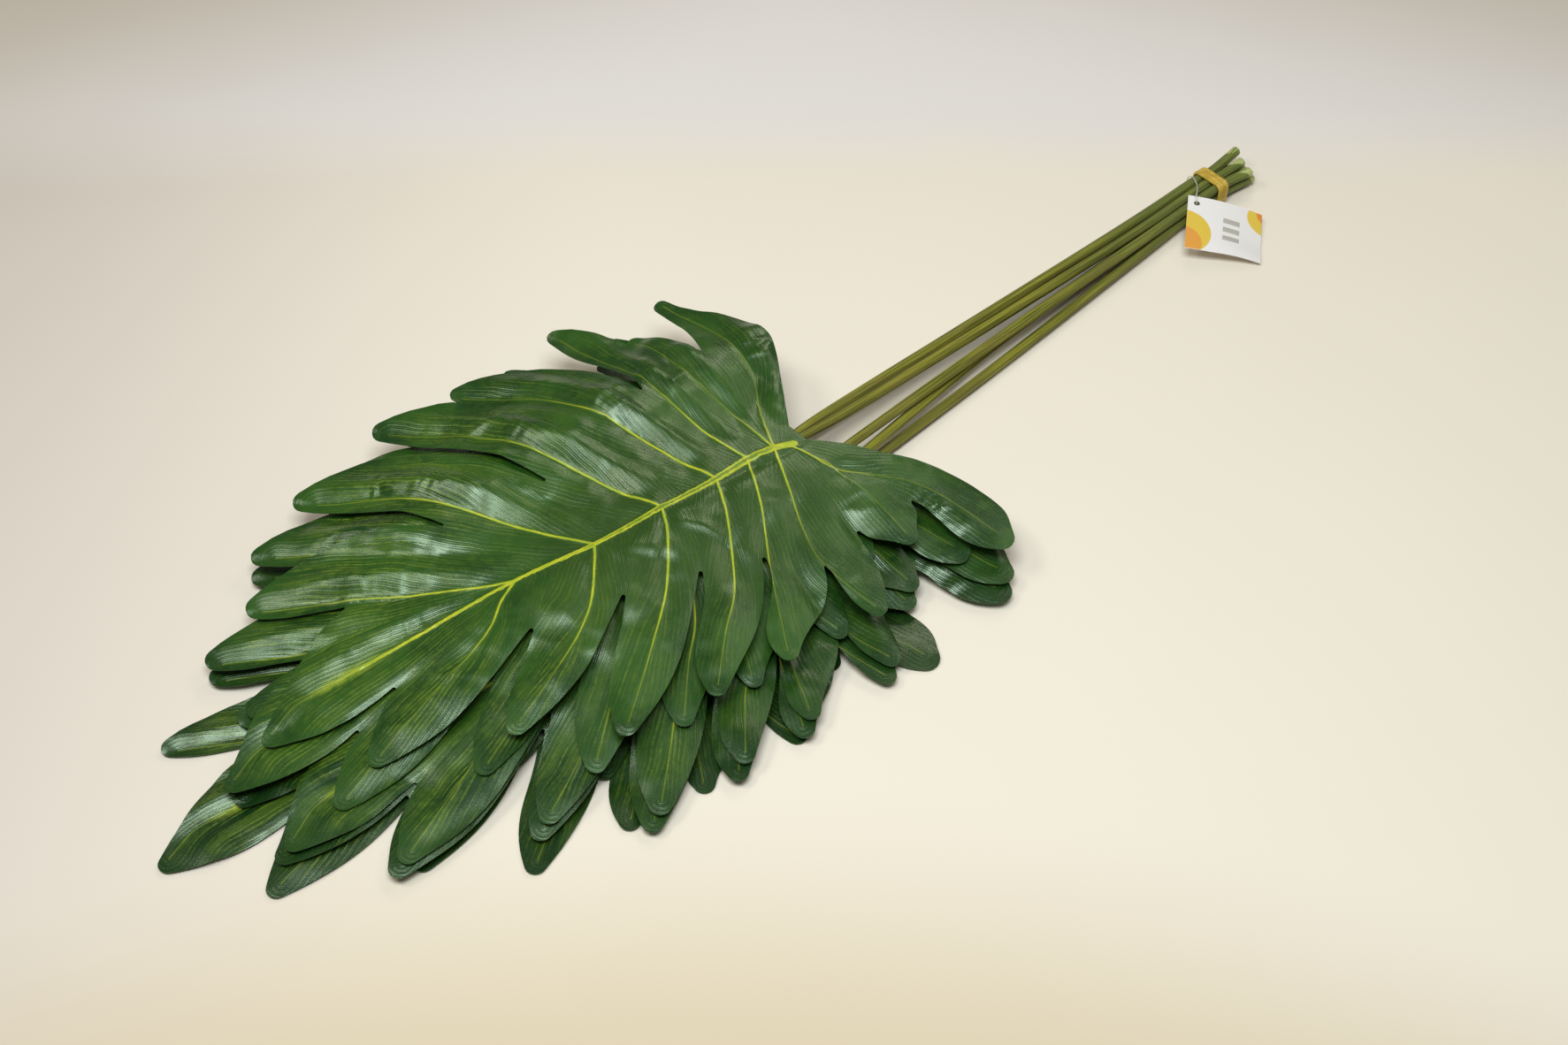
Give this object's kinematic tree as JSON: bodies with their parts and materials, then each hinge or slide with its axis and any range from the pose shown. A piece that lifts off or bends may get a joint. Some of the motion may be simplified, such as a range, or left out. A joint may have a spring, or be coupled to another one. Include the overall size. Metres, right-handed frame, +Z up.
{
  "type": "bundle of artificial philodendron leaves",
  "caption": "Tied bundle of deeply cut philodendron leaves on long stems, lying flat, with a rubber band and a hang tag.",
  "frame": {"origin": "middle of the bundle's footprint, on the surface it lies on", "axes": "+X along the bundle toward the leaf tips, +Z up"},
  "size_m": [0.8806, 0.3394, 0.0525],
  "materials": {
    "blade_1": "satin, printed",
    "stem_1": "satin, lightly grooved",
    "blade_2": "satin, printed",
    "stem_2": "satin, lightly grooved",
    "blade_3": "satin, printed",
    "stem_3": "satin, lightly grooved",
    "blade_4": "satin, printed",
    "stem_4": "satin, lightly grooved",
    "blade_5": "satin, printed",
    "stem_5": "satin, lightly grooved",
    "blade_6": "satin, printed",
    "stem_6": "satin, lightly grooved",
    "rubber_band": "matt",
    "hang_tag": "smooth printed card",
    "tag_loop": "clear"
  },
  "bodies": {
    "root": {"blade_1": "blade_1", "stem_1": "stem_1", "blade_2": "blade_2", "stem_2": "stem_2", "blade_3": "blade_3", "stem_3": "stem_3", "blade_4": "blade_4", "stem_4": "stem_4", "blade_5": "blade_5", "stem_5": "stem_5", "blade_6": "blade_6", "stem_6": "stem_6", "rubber_band": "rubber_band", "hang_tag": "hang_tag", "tag_loop": "tag_loop"}
  },
  "joints": []
}
